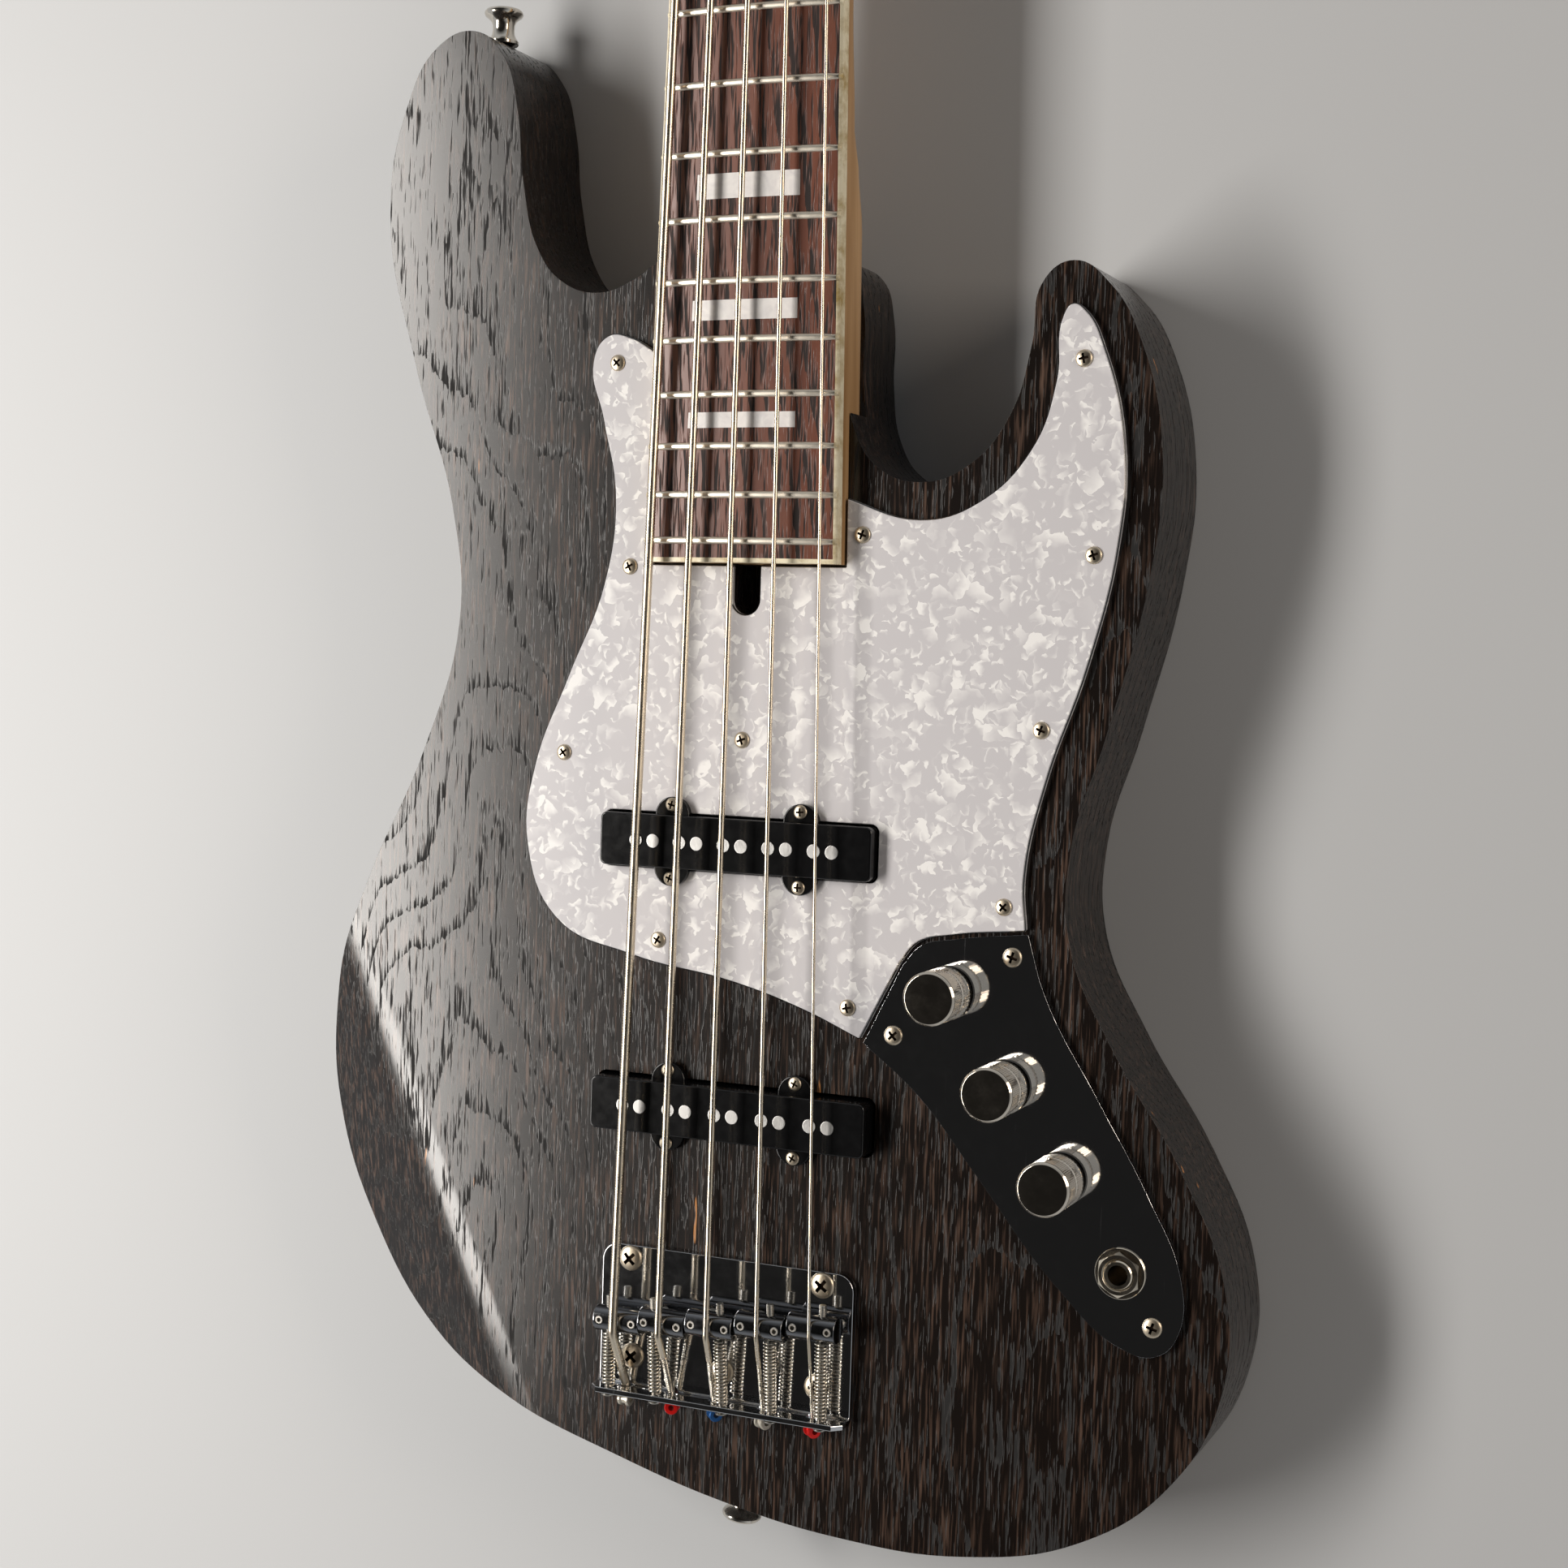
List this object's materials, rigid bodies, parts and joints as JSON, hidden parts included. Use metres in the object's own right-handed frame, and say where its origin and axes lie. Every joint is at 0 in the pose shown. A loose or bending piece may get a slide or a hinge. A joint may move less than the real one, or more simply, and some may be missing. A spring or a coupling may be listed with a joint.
{
  "type": "electric bass guitar",
  "caption": "Solid-body electric bass guitar lying on its back: double-cutaway body, bolt-on neck, barrel-saddle bridge, knobs that turn and open worm-gear tuning machines.",
  "frame": {"origin": "on the flat back of the body, on the centreline, under the end of the scale at the bridge", "axes": "+Y along the centreline from the bridge to the headstock, +Z out of the front face with the strings, +X towards the treble side with the knobs"},
  "size_m": [0.3403, 1.1312, 0.064],
  "materials": {
    "stained_wood": "black stain in open grain, satin",
    "pearloid": "white pearl laminate, gloss",
    "chrome_plate": "mirror chrome",
    "black_plastic": "moulded, gloss",
    "magnet_steel": "ground pole ends",
    "maple": "amber lacquer, satin",
    "rosewood": "oiled, with nickel silver frets",
    "cream_binding": "satin",
    "bone": "bone, polished",
    "rod_steel": "plain steel",
    "wound_nickel": "round wound",
    "nickel_plate": "nickel plated",
    "knob_chrome": "knurled side, mirror top",
    "shaft_brass": "plain brass",
    "can_steel": "tinned steel can",
    "spring_steel": "drawn wire"
  },
  "bodies": {
    "instrument": {"body": "stained_wood", "pickguard": "pearloid", "control_plate": "chrome_plate", "neck_pickup_cover": "black_plastic", "neck_pickup_coil": "magnet_steel", "bridge_pickup_cover": "black_plastic", "bridge_pickup_coil": "magnet_steel", "bridge_plate": "chrome_plate", "neck": "maple", "truss_rod": "rod_steel", "fretboard": "rosewood", "fretboard_binding": "cream_binding", "nut": "bone", "output_jack": "nickel_plate", "jack_nut": "nickel_plate", "strap_button_horn": "chrome_plate", "strap_button_tail": "chrome_plate", "neck_bolt_1": "nickel_plate", "neck_bolt_2": "nickel_plate", "neck_bolt_3": "nickel_plate", "neck_bolt_4": "nickel_plate", "potentiometer_1": "can_steel", "potentiometer_2": "can_steel", "potentiometer_3": "can_steel", "saddle_b": "chrome_plate", "saddle_spring_b": "spring_steel", "string_b": "wound_nickel", "tuner_plate_b": "nickel_plate", "saddle_e": "chrome_plate", "saddle_spring_e": "spring_steel", "string_e": "wound_nickel", "tuner_plate_e": "nickel_plate", "saddle_a": "chrome_plate", "saddle_spring_a": "spring_steel", "string_a": "wound_nickel", "tuner_plate_a": "nickel_plate", "saddle_d": "chrome_plate", "saddle_spring_d": "spring_steel", "string_d": "wound_nickel", "tuner_plate_d": "nickel_plate", "saddle_g": "chrome_plate", "saddle_spring_g": "spring_steel", "string_g": "wound_nickel", "tuner_plate_g": "nickel_plate"},
    "control_1": {"knob_1": "knob_chrome", "pot_shaft_1": "shaft_brass"},
    "control_2": {"knob_2": "knob_chrome", "pot_shaft_2": "shaft_brass"},
    "control_3": {"knob_3": "knob_chrome", "pot_shaft_3": "shaft_brass"},
    "machine_key_b": {"tuner_key_b": "nickel_plate"},
    "machine_post_b": {"tuner_post_b": "nickel_plate"},
    "machine_key_e": {"tuner_key_e": "nickel_plate"},
    "machine_post_e": {"tuner_post_e": "nickel_plate"},
    "machine_key_a": {"tuner_key_a": "nickel_plate"},
    "machine_post_a": {"tuner_post_a": "nickel_plate"},
    "machine_key_d": {"tuner_key_d": "nickel_plate"},
    "machine_post_d": {"tuner_post_d": "nickel_plate"},
    "machine_key_g": {"tuner_key_g": "nickel_plate"},
    "machine_post_g": {"tuner_post_g": "nickel_plate"}
  },
  "joints": [
    {"name": "control_1_turn", "type": "hinge", "parent": "instrument", "child": "control_1", "pos_m": [0.0765, 0.1108, 0.055], "axis": [0, 0, 1], "range_deg": [-150, 150]},
    {"name": "control_2_turn", "type": "hinge", "parent": "instrument", "child": "control_2", "pos_m": [0.0969, 0.0819, 0.055], "axis": [0, 0, 1], "range_deg": [-150, 150]},
    {"name": "control_3_turn", "type": "hinge", "parent": "instrument", "child": "control_3", "pos_m": [0.1167, 0.0539, 0.055], "axis": [0, 0, 1], "range_deg": [-150, 150]},
    {"name": "key_b_turn", "type": "hinge", "parent": "instrument", "child": "machine_key_b", "pos_m": [-0.029, 0.9198, 0.0245], "axis": [1, 0, 0], "continuous": true},
    {"name": "post_b_turn", "type": "hinge", "parent": "instrument", "child": "machine_post_b", "pos_m": [-0.029, 0.906, 0.0245], "axis": [0, 0, 1], "continuous": true},
    {"name": "key_e_turn", "type": "hinge", "parent": "instrument", "child": "machine_key_e", "pos_m": [-0.0265, 0.9648, 0.0245], "axis": [1, 0, 0], "continuous": true},
    {"name": "post_e_turn", "type": "hinge", "parent": "instrument", "child": "machine_post_e", "pos_m": [-0.0265, 0.951, 0.0245], "axis": [0, 0, 1], "continuous": true},
    {"name": "key_a_turn", "type": "hinge", "parent": "instrument", "child": "machine_key_a", "pos_m": [-0.024, 1.0098, 0.0245], "axis": [1, 0, 0], "continuous": true},
    {"name": "post_a_turn", "type": "hinge", "parent": "instrument", "child": "machine_post_a", "pos_m": [-0.024, 0.996, 0.0245], "axis": [0, 0, 1], "continuous": true},
    {"name": "key_d_turn", "type": "hinge", "parent": "instrument", "child": "machine_key_d", "pos_m": [0.0265, 0.9648, 0.0245], "axis": [1, 0, 0], "continuous": true},
    {"name": "post_d_turn", "type": "hinge", "parent": "instrument", "child": "machine_post_d", "pos_m": [0.0265, 0.951, 0.0245], "axis": [0, 0, 1], "continuous": true},
    {"name": "key_g_turn", "type": "hinge", "parent": "instrument", "child": "machine_key_g", "pos_m": [0.029, 0.9198, 0.0245], "axis": [1, 0, 0], "continuous": true},
    {"name": "post_g_turn", "type": "hinge", "parent": "instrument", "child": "machine_post_g", "pos_m": [0.029, 0.906, 0.0245], "axis": [0, 0, 1], "continuous": true}
  ],
  "couplings": [
    {"joint": "post_b_turn", "follows": "key_b_turn", "ratio": 0.05},
    {"joint": "post_e_turn", "follows": "key_e_turn", "ratio": 0.05},
    {"joint": "post_a_turn", "follows": "key_a_turn", "ratio": 0.05},
    {"joint": "post_d_turn", "follows": "key_d_turn", "ratio": 0.05},
    {"joint": "post_g_turn", "follows": "key_g_turn", "ratio": 0.05}
  ]
}
